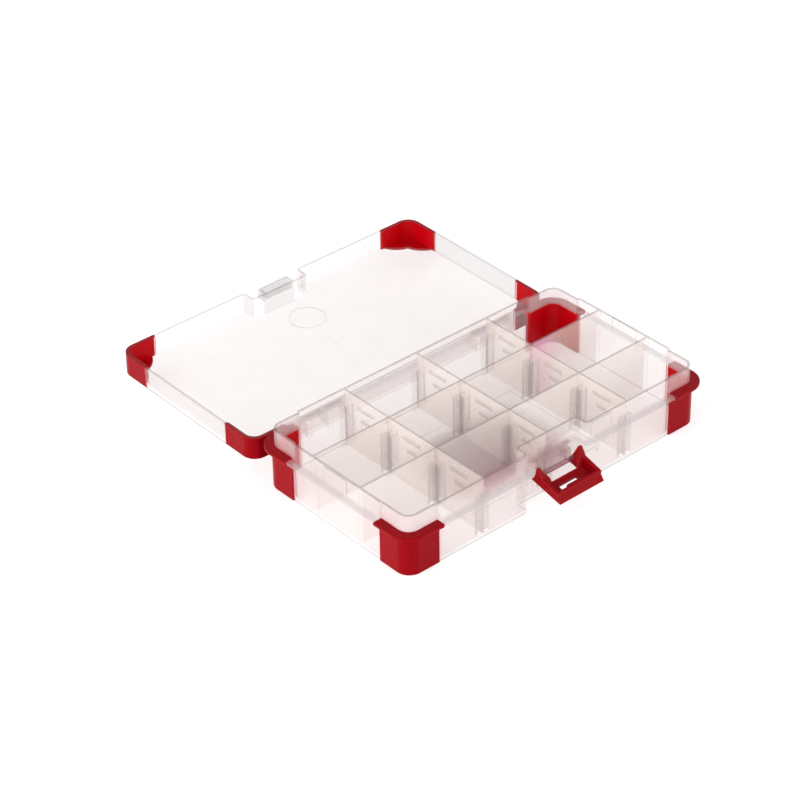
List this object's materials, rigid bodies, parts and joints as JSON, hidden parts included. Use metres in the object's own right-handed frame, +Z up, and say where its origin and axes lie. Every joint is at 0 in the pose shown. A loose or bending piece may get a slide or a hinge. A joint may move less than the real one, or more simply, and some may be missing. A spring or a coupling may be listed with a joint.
{
  "type": "compartment storage box",
  "caption": "Shallow translucent parts box with loose cross dividers, one hinged lid, clip-on corner guards and a swing-up front latch, shown lying open",
  "frame": {"origin": "middle of the underside of the tub, on the surface that the box stands on", "axes": "X along the long side of the tub, +Y from the latch to the hinge and the opened lid, +Z up"},
  "size_m": [0.2364, 0.2783, 0.0398],
  "materials": {
    "clear_pp": "translucent natural polypropylene, softly glossy",
    "red_pp": "opaque red polypropylene, satin",
    "label_card": "plain printed film label, matt"
  },
  "bodies": {
    "base": {"base_tub": "clear_pp", "base_label": "label_card", "base_corner_guard_front_left": "red_pp", "base_corner_guard_front_right": "red_pp", "base_corner_guard_rear_left": "red_pp", "base_corner_guard_rear_right": "red_pp"},
    "lid": {"lid_shell": "clear_pp", "lid_corner_guard_front_left": "red_pp", "lid_corner_guard_front_right": "red_pp", "lid_corner_guard_rear_left": "red_pp", "lid_corner_guard_rear_right": "red_pp"},
    "latch_arm": {"latch": "red_pp"},
    "rear_divider_left_lift": {"rear_divider_left": "clear_pp"},
    "rear_divider_centre_lift": {"rear_divider_centre": "clear_pp"},
    "rear_divider_right_lift": {"rear_divider_right": "clear_pp"},
    "middle_divider_left_lift": {"middle_divider_left": "clear_pp"},
    "middle_divider_centre_lift": {"middle_divider_centre": "clear_pp"},
    "middle_divider_right_lift": {"middle_divider_right": "clear_pp"},
    "front_divider_left_lift": {"front_divider_left": "clear_pp"},
    "front_divider_centre_lift": {"front_divider_centre": "clear_pp"},
    "front_divider_right_lift": {"front_divider_right": "clear_pp"}
  },
  "joints": [
    {"name": "lid_hinge", "type": "hinge", "parent": "base", "child": "lid", "pos_m": [0, 0.067, 0.0268], "axis": [-1, 0, 0], "range_deg": [-179.1, 0]},
    {"name": "latch_pivot", "type": "hinge", "parent": "base", "child": "latch_arm", "pos_m": [0, -0.0605, 0.0216], "axis": [1, 0, 0], "range_deg": [-103.2, 0]},
    {"name": "rear_divider_left_slide", "type": "slide", "parent": "base", "child": "rear_divider_left_lift", "axis": [0, 0, 1], "range_m": [0, 0.042]},
    {"name": "rear_divider_centre_slide", "type": "slide", "parent": "base", "child": "rear_divider_centre_lift", "axis": [0, 0, 1], "range_m": [0, 0.042]},
    {"name": "rear_divider_right_slide", "type": "slide", "parent": "base", "child": "rear_divider_right_lift", "axis": [0, 0, 1], "range_m": [0, 0.042]},
    {"name": "middle_divider_left_slide", "type": "slide", "parent": "base", "child": "middle_divider_left_lift", "axis": [0, 0, 1], "range_m": [0, 0.042]},
    {"name": "middle_divider_centre_slide", "type": "slide", "parent": "base", "child": "middle_divider_centre_lift", "axis": [0, 0, 1], "range_m": [0, 0.042]},
    {"name": "middle_divider_right_slide", "type": "slide", "parent": "base", "child": "middle_divider_right_lift", "axis": [0, 0, 1], "range_m": [0, 0.042]},
    {"name": "front_divider_left_slide", "type": "slide", "parent": "base", "child": "front_divider_left_lift", "axis": [0, 0, 1], "range_m": [0, 0.042]},
    {"name": "front_divider_centre_slide", "type": "slide", "parent": "base", "child": "front_divider_centre_lift", "axis": [0, 0, 1], "range_m": [0, 0.042]},
    {"name": "front_divider_right_slide", "type": "slide", "parent": "base", "child": "front_divider_right_lift", "axis": [0, 0, 1], "range_m": [0, 0.042]}
  ]
}
